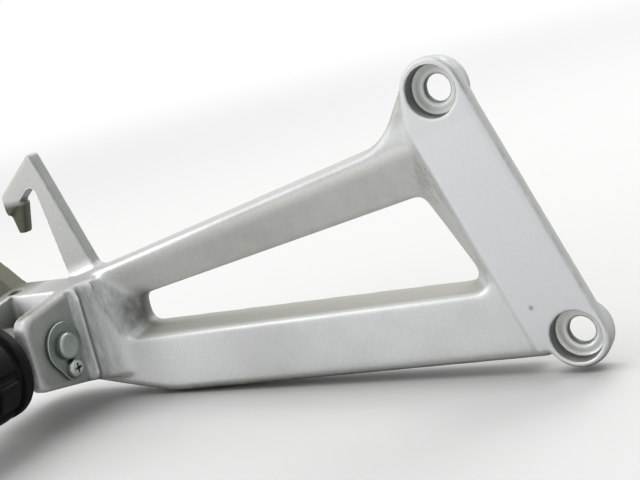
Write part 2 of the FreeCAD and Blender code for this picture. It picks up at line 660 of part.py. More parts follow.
bar_profile = outline(peg_bar, "bar_profile", "XY_Plane", [
    ("0", "-<flange_start>"),
    ("0", f"-{BAR_END}"),
    ("<bar_radius> - <barb_lead>", f"-{BAR_END}"),
    ("<barb_radius>", f"<barb_length> / 2 - {BAR_END}"),
    ("<bar_radius>", f"<barb_length> - {BAR_END}"),
    ("<bar_radius>", "-<flange_start> - <flange_depth>"),
    ("<flange_radius>", "-<flange_start> - <flange_depth>"),
    ("<flange_radius>", "-<flange_start>"),
])
spin(peg_bar, "bar_turned", bar_profile, "V_Axis")
eye_sketch = new_sketch(peg_bar, "eye_circle", "YZ_Plane", away="<slot_width>")
add_circles(eye_sketch, [("0", "0", "<pin_radius> + <bar_bore_fit>")])
cut(peg_bar, "eye_bore", eye_sketch, None)

# Footpeg rubber: a moulded sleeve with rows of tread blocks, closed at its outer end
peg_rubber = new_body("peg_rubber", AT_PEG)
RUBBER_END = "(<rubber_start> + <rubber_length>)"
BAR_ROOM = "(<bar_radius> + <rubber_fit>)"
rubber_profile = outline(peg_rubber, "rubber_profile", "XY_Plane", [
    ("<flange_radius> + <rubber_fit>", "-<rubber_start>"),
    ("<flange_radius> + <rubber_fit>", "-<flange_start> - <flange_depth> - <rubber_fit>"),
    (BAR_ROOM, "-<flange_start> - <flange_depth> - <rubber_fit>"),
    (BAR_ROOM, f"<barb_length> + <rubber_fit> - {BAR_END}"),
    ("<barb_radius> + <rubber_fit>", f"<barb_length> / 2 - {BAR_END}"),
    (f"{BAR_ROOM} - <barb_lead>", f"-{BAR_END} - <rubber_fit>"),
    ("0", f"-{BAR_END} - <rubber_fit>"),
    ("0", f"-{RUBBER_END}"),
    ("<rubber_radius>", f"-{RUBBER_END}", "<rubber_end_radius>"),
    ("<rubber_radius>", "-<rubber_start>", "<rubber_fit> * 20"),
])
spin(peg_rubber, "rubber_moulded", rubber_profile, "V_Axis")


def repeat(body, name, feature, kind, sketch, axis, count, settings):
    """A linear or polar pattern of one feature along or about an axis of its sketch."""
    pattern = body.newObject(kind, name)
    pattern.Originals = [feature]
    reference = "Direction" if kind.endswith("LinearPattern") else "Axis"
    setattr(pattern, reference, (sketch, [axis]))
    pattern.setExpression("Occurrences", sized(count))
    for prop, value in settings.items():
        if isinstance(value, str):
            pattern.setExpression(prop, sized(value))
        else:
            setattr(pattern, prop, value)
    body.Tip = pattern
    doc.recompute()
    return pattern


TREAD_START = "(<rubber_start> + <collar_length>)"
TREAD_LENGTH = "(<rubber_length> - 2 * <collar_length> - <rubber_end_radius>)"
ring_profile = outline(peg_rubber, "ring_profile", "XY_Plane", [
    ("<rubber_radius> - <tread_depth>", f"-{TREAD_START} - <tread_row_gap>"),
    ("<rubber_radius> + 1", f"-{TREAD_START} - <tread_row_gap>"),
    ("<rubber_radius> + 1", f"-{TREAD_START}"),
    ("<rubber_radius> - <tread_depth>", f"-{TREAD_START}"),
])
ring = spin(peg_rubber, "tread_ring", ring_profile, "V_Axis", "PartDesign::Groove")
repeat(peg_rubber, "tread_rings", ring, "PartDesign::LinearPattern", ring_profile, "V_Axis",
       "<tread_rows> + 1", {"Length": TREAD_LENGTH, "Reversed": True})
slit_sketch = outline(peg_rubber, "slit_outline", "XY_Plane", [
    ("-<tread_column_gap> / 2", f"-{TREAD_START} - {TREAD_LENGTH}"),
    ("<tread_column_gap> / 2", f"-{TREAD_START} - {TREAD_LENGTH}"),
    ("<tread_column_gap> / 2", f"-{TREAD_START}"),
    ("-<tread_column_gap> / 2", f"-{TREAD_START}"),
], away="<rubber_radius> - <tread_depth>")
slit = cut(peg_rubber, "tread_slit", slit_sketch, "<tread_depth> + 1", reverse=True)
repeat(peg_rubber, "tread_slits", slit, "PartDesign::PolarPattern", ring_profile, "V_Axis",
       "<tread_columns>", {"Angle": 360})

doc.recompute()
for item in doc.Objects:
    if "Invalid" in item.State or "Error" in item.State:
        raise ValueError(f"{item.Name} is not sound: {item.State}")
for node in (bracket, pivot_pin, pin_plate, pin_screw, spring_washer, peg_bar, peg_rubber):
    shape = node.Shape
    if shape.isNull() or not shape.isValid() or len(shape.Solids) != 1:
        raise ValueError(f"{node.Label} is not one sound solid")
    shape.exportStep(f"parts/{node.Label}.step")
    print(node.Label, round(shape.Volume))
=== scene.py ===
import json

import bmesh
import bpy
import numpy as np
from mathutils import Matrix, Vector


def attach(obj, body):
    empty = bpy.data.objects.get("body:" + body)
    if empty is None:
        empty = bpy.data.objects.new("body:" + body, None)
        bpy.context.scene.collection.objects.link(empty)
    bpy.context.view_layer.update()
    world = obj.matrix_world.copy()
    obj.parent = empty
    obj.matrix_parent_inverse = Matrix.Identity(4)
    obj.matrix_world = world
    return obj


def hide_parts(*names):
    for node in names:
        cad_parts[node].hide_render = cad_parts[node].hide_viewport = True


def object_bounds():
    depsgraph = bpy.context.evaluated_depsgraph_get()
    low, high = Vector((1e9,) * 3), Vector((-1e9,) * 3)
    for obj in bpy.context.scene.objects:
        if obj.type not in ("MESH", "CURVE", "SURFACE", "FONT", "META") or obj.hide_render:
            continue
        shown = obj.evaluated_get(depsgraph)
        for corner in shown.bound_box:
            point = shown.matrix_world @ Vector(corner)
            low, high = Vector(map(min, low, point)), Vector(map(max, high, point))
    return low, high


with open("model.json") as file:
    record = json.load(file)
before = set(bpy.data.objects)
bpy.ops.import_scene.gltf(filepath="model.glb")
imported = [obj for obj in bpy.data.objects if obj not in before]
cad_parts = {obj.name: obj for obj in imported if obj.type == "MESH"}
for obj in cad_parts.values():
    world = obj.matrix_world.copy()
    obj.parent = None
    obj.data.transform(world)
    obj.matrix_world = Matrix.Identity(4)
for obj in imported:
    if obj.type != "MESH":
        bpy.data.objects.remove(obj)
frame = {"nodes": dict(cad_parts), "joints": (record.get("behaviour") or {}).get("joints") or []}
nodes = frame["nodes"]
cad_box = [list(corner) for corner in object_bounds()]


# Bracket: one gravity casting in aluminium alloy, held to the motorbike's frame by two bolts in its bosses.
# It left the mould with soft edges and an olive grey skin.  The outer faces were rubbed down to a satin
# sheen, and the bolt seats and the slot of the clevis head were machined.
MM = 1000.0  # millimetres in a metre: a pattern of s millimetres has the scale MM / s
BOLT_LEAN = np.radians(20.0)
BOLT_HALF_SPACING = 0.045
SEAT_RADIUS = 0.0086
PLATE_REAR = -0.0150
PLATE_FRONT = -0.0090
ARM_FRONT = -0.0080
CREST_SLOPE = 0.225
CREST_HEIGHT = 0.0363
SLOT_FRONT, SLOT_REAR, SLOT_FLOOR = -0.184, -0.207, -0.0185
HEAD_FRONT = -0.160
PIN_X, PIN_Y, PIN_Z = frame["joints"][0]["pos_m"]
ACROSS = (np.cos(BOLT_LEAN), 0.0, np.sin(BOLT_LEAN))
ALONG = (-np.sin(BOLT_LEAN), 0.0, np.cos(BOLT_LEAN))
CREST_UP = (-CREST_SLOPE, 0.0, 1.0)


def ramp(value, low, high):
    """Smooth step of arrays: 0 at low, 1 at high, 3 t^2 - 2 t^3 between; low may be the greater."""
    t = np.clip((value - low) / (high - low), 0.0, 1.0)
    return t * t * (3 - 2 * t)


CELL = 0.0005
WELD = 2e-6
FIRST_ROUNDS = 6


def finished_mesh(piece):
    """The mesh of a piece with its modifiers applied; the piece is left without them."""
    made = bpy.data.meshes.new_from_object(piece.evaluated_get(bpy.context.evaluated_depsgraph_get()))
    piece.modifiers.clear()
    return made


def eased(node, name, rounds, softness, share, raised=None):
    """A copy of a node's solid with its edges eased, as a mould leaves them.

    The solid is cut into even cells.  Each point then moves half of the way to the mean of its
    neighbours, p += w * (mean - p) / 2, first with w = 1 to clear the marks of the cells, and then for
    some rounds with w = softness(points), which is 0 on machined faces.  What is raised on the piece is
    added to the points then, and flat cells are joined until a share of them is left.
    """
    solid = node.data.copy()
    welded = bmesh.new()
    welded.from_mesh(solid)
    bmesh.ops.remove_doubles(welded, verts=welded.verts, dist=WELD)
    welded.to_mesh(solid)
    welded.free()
    piece = bpy.data.objects.new(name, solid)
    bpy.context.scene.collection.objects.link(piece)
    cells = piece.modifiers.new("cells", "REMESH")
    cells.mode = "VOXEL"
    cells.voxel_size = CELL
    even = finished_mesh(piece)
    count = len(even.vertices)
    flat = np.empty(3 * count)
    even.vertices.foreach_get("co", flat)
    points = flat.reshape(-1, 3)
    pairs = np.empty(2 * len(even.edges), np.int32)
    even.edges.foreach_get("vertices", pairs)
    one, other = pairs.reshape(-1, 2).T
    here, there = np.concatenate([one, other]), np.concatenate([other, one])
    neighbours = np.bincount(here, minlength=count)[:, None]
    weight = softness(points)[:, None]
    for w in [1.0] * FIRST_ROUNDS + [weight] * rounds:
        sums = [np.bincount(here, points[there, axis], count) for axis in range(3)]
        mean = np.stack(sums, 1) / neighbours
        points += w * (mean - points) / 2
    if raised:
        points += raised(points)
    even.vertices.foreach_set("co", points.ravel())
    piece.data = even
    joined = piece.modifiers.new("joined", "DECIMATE")
    joined.ratio = share
    piece.data = finished_mesh(piece)
    piece.data.shade_smooth()
    return piece


SEAT_BLEND = (SEAT_RADIUS + 0.0010, SEAT_RADIUS + 0.0035)
BORE_BLEND = (0.0060, 0.0080)
SLOT_REAR_BLEND = (SLOT_REAR - 0.0015, SLOT_REAR)
SLOT_FRONT_BLEND = (SLOT_FRONT + 0.0010, SLOT_FRONT)
SLOT_FLOOR_BLEND = (SLOT_FLOOR + 0.0015, SLOT_FLOOR)
STEP_WIDTH, STEP_LEVEL = (0.0030, 0.0015), (-0.0055, -0.0070)
LIMB_BLEND = (CREST_HEIGHT, CREST_HEIGHT + 0.004)
HEAD_BLEND = (HEAD_FRONT, HEAD_FRONT - 0.010)
STEP_KEPT, LIMB_KEPT, HEAD_KEPT = 0.6, 0.5, 0.85


def casting_softness(points):
    """1 on cast faces, 0 in the bolt seats, the pin's bore and the slot.

    It is between, 1 less the share kept, on the plate's step, the hook and the head.
    """
    x, y, z = points.T
    across, along, crest_level = points @ ACROSS, points @ ALONG, points @ CREST_UP
    from_bolt = np.hypot(across, np.abs(along) - BOLT_HALF_SPACING)
    from_pin = np.hypot(y - PIN_Y, z - PIN_Z)
    cast = ramp(from_bolt, *SEAT_BLEND) * ramp(from_pin, *BORE_BLEND)
    in_slot = ramp(x, *SLOT_REAR_BLEND) * ramp(x, *SLOT_FRONT_BLEND) * ramp(y, *SLOT_FLOOR_BLEND)
    step = ramp(np.abs(across - PLATE_REAR), *STEP_WIDTH) * ramp(y, *STEP_LEVEL)
    limb = ramp(crest_level, *LIMB_BLEND)
    head = ramp(x, *HEAD_BLEND)
    return (cast * (1 - in_slot) * (1 - STEP_KEPT * step)
            * (1 - LIMB_KEPT * limb) * (1 - HEAD_KEPT * head))


LIP_Y, LIP_HALF_WIDTH, LIP_HEIGHT = -0.0168, 0.0034, 0.0024
LIP_LOW, LIP_TOP, LIP_FADE = -0.0470, -0.0040, 0.0075
LIP_SHARPNESS = 1.5
CHEEK_FACE = -0.1780
LIP_ROOT = (CHEEK_FACE - 0.0020, CHEEK_FACE - 0.0008)
LIP_REACH = (CHEEK_FACE + 0.014, CHEEK_FACE + 0.008)


def head_lip(points):
    """The upright lip beside the faced cheek.

    It rises along +X by h * ((1 + cos(pi d / w)) / 2) ** sharpness at a distance d < w from its line.
    """
    x, y, z = points.T
    from_line = np.clip(np.abs(y - LIP_Y) / LIP_HALF_WIDTH, 0, 1)
    bell = ((1 + np.cos(np.pi * from_line)) / 2) ** LIP_SHARPNESS
    ends = ramp(z, LIP_LOW, LIP_LOW + LIP_FADE) * ramp(z, LIP_TOP, LIP_TOP - LIP_FADE)
    outside = ramp(x, *LIP_ROOT) * ramp(x, *LIP_REACH)
    return (LIP_HEIGHT * bell * ends * outside)[:, None] * (1.0, 0.0, 0.0)


CASTING_ROUNDS, CASTING_SHARE = 40, 0.4
casting = eased(nodes["bracket"], "bracket_casting", CASTING_ROUNDS, casting_softness, CASTING_SHARE,
                head_lip)


def linear(hex_colour):
    """sRGB hex to linear RGBA: c / 12.92 up to 0.04045, and ((c + 0.055) / 1.055) ** 2.4 above it."""
    c = np.array([int(hex_colour[i:i + 2], 16) for i in (1, 3, 5)]) / 255
    shade = np.where(c <= 0.04045, c / 12.92, ((c + 0.055) / 1.055) ** 2.4)
    return (*shade.tolist(), 1.0)


def put(tree, kind, inputs=None, **settings):
    """Adds a shader node: settings are its own properties, inputs are values or sockets to link."""
    made = tree.nodes.new("ShaderNode" + kind)
    for name, value in settings.items():
        setattr(made, name, value)
    for key, value in (inputs or {}).items():
        if isinstance(value, bpy.types.NodeSocket):
            tree.links.new(value, made.inputs[key])
        else:
            made.inputs[key].default_value = value
    return made


def new_material(name):
    """An empty node material and its tree."""
    made = bpy.data.materials.new(name)
    made.use_nodes = True
    made.node_tree.nodes.clear()
    return made, made.node_tree


def wear(piece, finish):
    """Gives a piece one material in all its slots."""
    piece.data.materials.clear()
    piece.data.materials.append(finish)


# Satin cast aluminium: pale and even where it was rubbed down, with a fine upright mottle and soft clouds;
# greyer inside the flared window with painted shade, and olive with fine pits where the mould's skin was
# left.
MOTTLE_MM = (0.8, 0.8, 1.8)
GRAIN_MM = 0.35
CLOUD_MM = 15.0
SKIN_MM = 0.9
STAIN_MM = 6.0
PATINA_MM = (3.0, 3.0, 9.0)
NOISE_LOW, NOISE_HIGH = 0.3, 0.7
CREST_EDGE, CREST_BAND, CREST_FADE = 0.002, 0.005, 0.0085
PRONG_FRONT, PRONG_EDGE = -0.2160, 0.002
PLATE_FLANK, FLANK_EDGE = 0.0110, 0.0020
STEP_EDGE, LEVEL_EDGE = 0.0006, 0.0002
LIMB_FOOT, LIMB_FULL = 0.002, 0.006
NECK_FROM, NECK_FULL = -0.095, -0.150
CLAW_FRONT, CLAW_TOP = -0.1980, 0.0290
CLAW_EDGE, CLAW_FADE = 0.0015, 0.003
HIGHLIGHT_FROM, HIGHLIGHT_FULL = CHEEK_FACE + 0.010, CHEEK_FACE + 0.004
RIM_HIGHLIGHT, HEAD_HIGHLIGHT = 0.25, 1.0
OUTBOARD, IN_FRONT = (-0.35, -0.7), (0.2, -0.1)
UPWARD, DOWNWARD, FORWARD = (0.3, 0.7), (-0.08, -0.34), (0.2, 0.6)
POINTED = (0.505, 0.54)
PATCHY = (0.36, 0.64)
alloy, tree = new_material("satin_cast_aluminium")
coords = put(tree, "TexCoord")
place = coords.outputs["Object"]
facing = put(tree, "SeparateXYZ", {"Vector": coords.outputs["Normal"]})
spot = put(tree, "SeparateXYZ", {"Vector": place})
across = put(tree, "VectorMath", {0: place, 1: ACROSS}, operation="DOT_PRODUCT").outputs["Value"]
along = put(tree, "VectorMath", {0: place, 1: ALONG}, operation="DOT_PRODUCT").outputs["Value"]
crest_level = put(tree, "VectorMath", {0: place, 1: CREST_UP}, operation="DOT_PRODUCT").outputs["Value"]

outboard = put(tree, "MapRange", {"Value": facing.outputs["Y"], "From Min": OUTBOARD[0],
                                  "From Max": OUTBOARD[1]}, interpolation_type="SMOOTHSTEP").outputs[0]
upward = put(tree, "MapRange", {"Value": facing.outputs["Z"], "From Min": UPWARD[0], "From Max": UPWARD[1]},
             interpolation_type="SMOOTHSTEP").outputs[0]
near_crest = put(tree, "MapRange", {"Value": crest_level, "From Min": CREST_HEIGHT - CREST_BAND,
                                    "From Max": CREST_HEIGHT - CREST_EDGE},
                 interpolation_type="SMOOTHSTEP").outputs[0]
crest = put(tree, "Math", {0: near_crest, 1: upward}, operation="MULTIPLY").outputs[0]
rubbed_and_highlit = put(tree, "Math", {0: outboard, 1: crest}, operation="MAXIMUM").outputs[0]
on_prong = put(tree, "MapRange", {"Value": spot.outputs["X"], "From Min": PRONG_FRONT + PRONG_EDGE,
                                  "From Max": PRONG_FRONT}, interpolation_type="SMOOTHSTEP").outputs[0]
off_prong = put(tree, "Math", {0: 1.0, 1: on_prong}, operation="SUBTRACT").outputs[0]
polished = put(tree, "Math", {0: rubbed_and_highlit, 1: off_prong}, operation="MULTIPLY").outputs[0]
downward = put(tree, "MapRange", {"Value": facing.outputs["Z"], "From Min": DOWNWARD[0],
                                  "From Max": DOWNWARD[1]}, interpolation_type="SMOOTHSTEP").outputs[0]
forward = put(tree, "MapRange", {"Value": facing.outputs["X"], "From Min": FORWARD[0],
                                 "From Max": FORWARD[1]}, interpolation_type="SMOOTHSTEP").outputs[0]
plate_side = put(tree, "MapRange", {"Value": across, "From Min": PLATE_REAR - STEP_EDGE,
                                    "From Max": PLATE_REAR + STEP_EDGE})
plate_level = put(tree, "MapRange", {"Value": spot.outputs["Y"], "From Min": ARM_FRONT - LEVEL_EDGE,
                                     "From Max": PLATE_FRONT + LEVEL_EDGE})
on_plate = put(tree, "Math", {0: plate_side.outputs[0], 1: plate_level.outputs[0]},
               operation="MULTIPLY").outputs[0]

upright = put(tree, "Mapping", {"Vector": place, "Scale": [MM / s for s in MOTTLE_MM]})
mottle = put(tree, "TexNoise", {"Vector": upright.outputs[0], "Scale": 1.0, "Detail": 3.0,
                                "Roughness": 0.6})
grain = put(tree, "TexNoise", {"Vector": place, "Scale": MM / GRAIN_MM, "Detail": 1.0})
clouds = put(tree, "TexNoise", {"Vector": place, "Scale": MM / CLOUD_MM, "Detail": 3.0, "Roughness": 0.55})
skin = put(tree, "TexNoise", {"Vector": place, "Scale": MM / SKIN_MM, "Detail": 4.0, "Roughness": 0.6})
stain = put(tree, "TexNoise", {"Vector": place, "Scale": MM / STAIN_MM, "Detail": 4.0, "Roughness": 0.6})

arm_tone = put(tree, "Mix", {0: clouds.outputs["Fac"], 6: linear("#C5C7C6"), 7: linear("#D9DBDA")},
               data_type="RGBA")
on_limb = put(tree, "MapRange", {"Value": crest_level, "From Min": CREST_HEIGHT + LIMB_FOOT,
                                 "From Max": CREST_HEIGHT + LIMB_FULL}).outputs[0]
off_limb = put(tree, "Math", {0: 1.0, 1: on_limb}, operation="SUBTRACT").outputs[0]
# Painted light: near the head, the faces that do not look up are lighter, in place of light; the same mask
# also sets their roughness.
near_head = put(tree, "MapRange", {"Value": spot.outputs["X"], "From Min": NECK_FROM,
                                   "From Max": NECK_FULL}, interpolation_type="SMOOTHSTEP").outputs[0]
below_crest = put(tree, "Math", {0: off_limb, 1: upward}, operation="SUBTRACT", use_clamp=True).outputs[0]
neck_light_and_sheen = put(tree, "Math", {0: near_head, 1: below_crest}, operation="MULTIPLY").outputs[0]
neck_painted_light = put(tree, "Mix", {0: neck_light_and_sheen, 6: arm_tone.outputs[2], 7: linear("#FBFCFD")}, data_type="RGBA")
hook_tone = put(tree, "Mix", {0: on_limb, 6: neck_painted_light.outputs[2], 7: linear("#B9BAB7")}, data_type="RGBA")
# Painted shade: faces that look up are darker, holding back the overhead lamp.
top_painted_shade = put(tree, "Mix", {0: upward, 6: hook_tone.outputs[2], 7: linear("#B3B4B2")}, data_type="RGBA")
plate_tone = put(tree, "Mix", {0: on_plate, 6: top_painted_shade.outputs[2], 7: linear("#D2D3D5")},
                 data_type="RGBA")
# Painted shade: faces that look down, inside the window, are greyer, with a stain on them; a painted
# highlight lightens their band just under the crest.
flare_stain_and_shade = put(tree, "Mix", {0: stain.outputs["Fac"], 6: linear("#B4B5B0"), 7: linear("#CACBC6")},
                  data_type="RGBA")
flare_painted_light = put(tree, "Mix", {0: neck_light_and_sheen, 6: flare_stain_and_shade.outputs[2], 7: linear("#DADBD7")},
                   data_type="RGBA")
under_crest = put(tree, "MapRange", {"Value": crest_level, "From Min": CREST_HEIGHT - CREST_FADE,
                                     "From Max": CREST_HEIGHT - CREST_EDGE},
                  interpolation_type="SMOOTHSTEP").outputs[0]
flare_lit = put(tree, "Mix", {0: under_crest, 6: flare_painted_light.outputs[2], 7: linear("#F0F1EF")},
                data_type="RGBA")
flare_painted_shade = put(tree, "Mix", {0: downward, 6: plate_tone.outputs[2], 7: flare_lit.outputs[2]},
                 data_type="RGBA")
hung = put(tree, "Mapping", {"Vector": place, "Scale": [MM / s for s in PATINA_MM]})
patina = put(tree, "TexNoise", {"Vector": hung.outputs[0], "Scale": 1.0, "Detail": 6.0, "Roughness": 0.75})
patches = put(tree, "MapRange", {"Value": patina.outputs["Fac"], "From Min": PATCHY[0],
                                 "From Max": PATCHY[1]}).outputs[0]
# Painted shade: faces that look along +X, in the dish beside the head, are darker, in patches of patina.
dish_patina_and_shade = put(tree, "Mix", {0: patches, 6: linear("#9BA09E"), 7: linear("#C2C6C6")}, data_type="RGBA")
dish_painted_shade = put(tree, "Mix", {0: forward, 6: flare_painted_shade.outputs[2], 7: dish_patina_and_shade.outputs[2]},
                data_type="RGBA")
mottle_level = put(tree, "MapRange", {"Value": mottle.outputs["Fac"], "From Min": NOISE_LOW,
                                      "From Max": NOISE_HIGH, "To Min": 0.95, "To Max": 1.05})
grain_level = put(tree, "MapRange", {"Value": grain.outputs["Fac"], "From Min": NOISE_LOW,
                                     "From Max": NOISE_HIGH, "To Min": 0.975, "To Max": 1.025})
level = put(tree, "Math", {0: mottle_level.outputs[0], 1: grain_level.outputs[0]}, operation="MULTIPLY")
calm = put(tree, "Mix", {0: on_plate, 2: level.outputs[0], 3: grain_level.outputs[0]})
rubbed_tone = put(tree, "VectorMath", {0: dish_painted_shade.outputs[2], "Scale": calm.outputs[0]},
                  operation="SCALE")
skin_tone = put(tree, "Mix", {0: stain.outputs["Fac"], 6: linear("#868A86"), 7: linear("#9EA19D")},
                data_type="RGBA")
# Painted light and shade on the skin's upward faces: lighter on the arms, dark olive on the head past its
# cheek.
on_arms = put(tree, "MapRange", {"Value": spot.outputs["X"], "From Min": CHEEK_FACE,
                                 "From Max": HEAD_FRONT}).outputs[0]
lit_and_shaded_top = put(tree, "Mix", {0: on_arms, 6: linear("#6E6E65"), 7: linear("#A9A9A2")}, data_type="RGBA")
skin_with_lit_top = put(tree, "Mix", {0: upward, 6: skin_tone.outputs[2], 7: lit_and_shaded_top.outputs[2]},
                 data_type="RGBA")
front_side = put(tree, "MapRange", {"Value": across, "From Min": PLATE_FLANK - FLANK_EDGE,
                                    "From Max": PLATE_FLANK}).outputs[0]
flank_tone = put(tree, "Mix", {0: front_side, 6: skin_with_lit_top.outputs[2], 7: linear("#BFC1BE")},
                 data_type="RGBA")
# Painted shade: the prong at the back of the head is dark olive.
prong_painted_shade = put(tree, "Mix", {0: on_prong, 6: flank_tone.outputs[2], 7: linear("#4A4940")},
                 data_type="RGBA")
tone = put(tree, "Mix", {0: polished, 6: prong_painted_shade.outputs[2], 7: rubbed_tone.outputs[0]},
           data_type="RGBA")
# Painted shade: the claw under the hook's tip is dark olive.
past_hook = put(tree, "MapRange", {"Value": spot.outputs["X"], "From Min": CLAW_FRONT,
                                   "From Max": CLAW_FRONT - CLAW_EDGE}).outputs[0]
under_hook = put(tree, "MapRange", {"Value": spot.outputs["Z"], "From Min": CLAW_TOP,
                                    "From Max": CLAW_TOP - CLAW_FADE}).outputs[0]
claw = put(tree, "Math", {0: on_limb, 1: past_hook}, operation="MULTIPLY").outputs[0]
on_claw = put(tree, "Math", {0: claw, 1: under_hook}, operation="MULTIPLY").outputs[0]
claw_painted_shade = put(tree, "Mix", {0: on_claw, 6: tone.outputs[2], 7: linear("#5A5B4E")}, data_type="RGBA")
# Painted highlight: sharp edges that face the front are lightened, faintly on the rims and fully on the
# head's cheek.
bend = put(tree, "NewGeometry").outputs["Pointiness"]
head_highlight_strength = put(tree, "MapRange", {"Value": spot.outputs["X"], "From Min": HIGHLIGHT_FROM,
                                   "From Max": HIGHLIGHT_FULL, "To Min": RIM_HIGHLIGHT, "To Max": HEAD_HIGHLIGHT})
edge_highlight = put(tree, "MapRange", {"Value": bend, "From Min": POINTED[0], "From Max": POINTED[1],
                                 "To Max": head_highlight_strength.outputs[0]})
in_front = put(tree, "MapRange", {"Value": facing.outputs["Y"], "From Min": IN_FRONT[0],
                                  "From Max": IN_FRONT[1]})
in_reach = put(tree, "Math", {0: in_front.outputs[0], 1: off_limb}, operation="MULTIPLY")
edge_highlight_mask = put(tree, "Math", {0: edge_highlight.outputs[0], 1: in_reach.outputs[0]}, operation="MULTIPLY")
edge_highlight_tone = put(tree, "Mix", {0: edge_highlight_mask.outputs[0], 6: claw_painted_shade.outputs[2], 7: linear("#F2F3F3")},
               data_type="RGBA")

# Machined bolt seats: rings left by the cutter about each bolt, drawn wide enough to show.
CUTTER_PITCH = 0.0006
SEAT_RIM, SEAT_INSIDE = SEAT_RADIUS + 0.0004, SEAT_RADIUS - 0.0002
SEAT_WALL = (-0.7, -0.4)
folded = put(tree, "Math", {0: along}, operation="ABSOLUTE")
from_bolt = put(tree, "Math", {0: folded.outputs[0], 1: BOLT_HALF_SPACING}, operation="SUBTRACT")
bolt_place = put(tree, "CombineXYZ", {"X": across, "Z": from_bolt.outputs[0]})
bolt_radius = put(tree, "VectorMath", {0: bolt_place.outputs[0]}, operation="LENGTH").outputs["Value"]
in_seat = put(tree, "MapRange", {"Value": bolt_radius, "From Min": SEAT_RIM,
                                 "From Max": SEAT_INSIDE}).outputs[0]
ring_phase = put(tree, "Math", {0: bolt_radius, 1: 2 * np.pi / CUTTER_PITCH}, operation="MULTIPLY")
rings = put(tree, "Math", {0: ring_phase.outputs[0]}, operation="SINE")
ring_level = put(tree, "MapRange", {"Value": rings.outputs[0], "From Min": -1.0, "To Min": 0.86,
                                    "To Max": 1.04})
# Painted shade: the walls of the seats are dark grey; their machined floors are pale.
seat_wall = put(tree, "MapRange", {"Value": facing.outputs["Y"], "From Min": SEAT_WALL[0],
                                   "From Max": SEAT_WALL[1]}).outputs[0]
seat_floor_and_shaded_wall = put(tree, "Mix", {0: seat_wall, 6: linear("#E4E6E4"), 7: linear("#666B67")}, data_type="RGBA")
seat_tone = put(tree, "VectorMath", {0: seat_floor_and_shaded_wall.outputs[2], "Scale": ring_level.outputs[0]},
                operation="SCALE")
faced = put(tree, "Mix", {0: in_seat, 6: edge_highlight_tone.outputs[2], 7: seat_tone.outputs[0]}, data_type="RGBA")

# A pinhole in the plate, where gas was caught under the casting's skin.
PINHOLE = (0.0026, PLATE_FRONT, -0.03156)
PINHOLE_RADIUS, PINHOLE_DARK = 0.0012, 0.6
pit_reach = put(tree, "VectorMath", {0: place, 1: PINHOLE}, operation="DISTANCE")
pit = put(tree, "MapRange", {"Value": pit_reach.outputs["Value"], "From Min": PINHOLE_RADIUS,
                             "From Max": PINHOLE_RADIUS * 0.3, "To Max": PINHOLE_DARK},
          interpolation_type="SMOOTHSTEP")
pitted = put(tree, "Mix", {0: pit.outputs[0], 6: faced.outputs[2], 7: linear("#6F6C66")}, data_type="RGBA")

# Rub marks beside the plate's step: short dark strokes on the upper arm, drawn wide enough to show.
RUB_MIDDLE = (-0.0240, -0.0060, 0.0125)
RUB_REACH, RUB_DARK = 0.0095, 0.42
STROKE_MM = (0.9, 6.0)
rub_across = put(tree, "Math", {0: across, 1: MM / STROKE_MM[0]}, operation="MULTIPLY")
rub_along = put(tree, "Math", {0: along, 1: MM / STROKE_MM[1]}, operation="MULTIPLY")
rub_place = put(tree, "CombineXYZ", {"X": rub_across.outputs[0], "Y": rub_along.outputs[0]})
strokes = put(tree, "TexNoise", {"Vector": rub_place.outputs[0], "Scale": 1.0, "Detail": 3.0,
                                 "Roughness": 0.6})
dark_strokes = put(tree, "MapRange", {"Value": strokes.outputs["Fac"], "From Min": 0.5, "From Max": 0.62})
from_rub = put(tree, "VectorMath", {0: place, 1: RUB_MIDDLE}, operation="DISTANCE")
rub_area = put(tree, "MapRange", {"Value": from_rub.outputs["Value"], "From Min": RUB_REACH,
                                  "From Max": RUB_REACH * 0.4, "To Max": RUB_DARK},
               interpolation_type="SMOOTHSTEP")
off_plate = put(tree, "Math", {0: rub_area.outputs[0], 1: on_plate}, operation="SUBTRACT", use_clamp=True)
rub = put(tree, "Math", {0: off_plate.outputs[0], 1: dark_strokes.outputs[0]}, operation="MULTIPLY")
marked = put(tree, "Mix", {0: rub.outputs[0], 6: pitted.outputs[2], 7: linear("#6E6B64")}, data_type="RGBA")

# Olive dirt and painted shade in the hollows, most of it painted shade in the window's corner at the head.
HOLLOW_REACH, DIRT_SHADE_DARK = 0.010, 0.8
WINDOW_CORNER = (-0.1575, -0.0040, -0.0215)
CORNER_REACH = 0.012
corner = put(tree, "AmbientOcclusion", {"Distance": HOLLOW_REACH}, samples=8)
dirt_and_shade = put(tree, "MapRange", {"Value": corner.outputs["AO"], "From Min": 0.72, "From Max": 0.3,
                              "To Max": DIRT_SHADE_DARK})
patchy = put(tree, "MapRange", {"Value": stain.outputs["Fac"], "From Min": 0.35, "From Max": 0.65,
                                "To Min": 0.55})
from_corner = put(tree, "VectorMath", {0: place, 1: WINDOW_CORNER}, operation="DISTANCE")
corner_shade = put(tree, "MapRange", {"Value": from_corner.outputs["Value"], "From Min": CORNER_REACH,
                               "From Max": CORNER_REACH * 0.3, "To Max": DIRT_SHADE_DARK},
            interpolation_type="SMOOTHSTEP")
dirt_and_corner_shade = put(tree, "Math", {0: dirt_and_shade.outputs[0], 1: corner_shade.outputs[0]}, operation="MAXIMUM")
patchy_dirt_and_shade = put(tree, "Math", {0: dirt_and_corner_shade.outputs[0], 1: patchy.outputs[0]}, operation="MULTIPLY")
colour = put(tree, "Mix", {0: patchy_dirt_and_shade.outputs[0], 6: marked.outputs[2], 7: linear("#47463D")},
             data_type="RGBA")

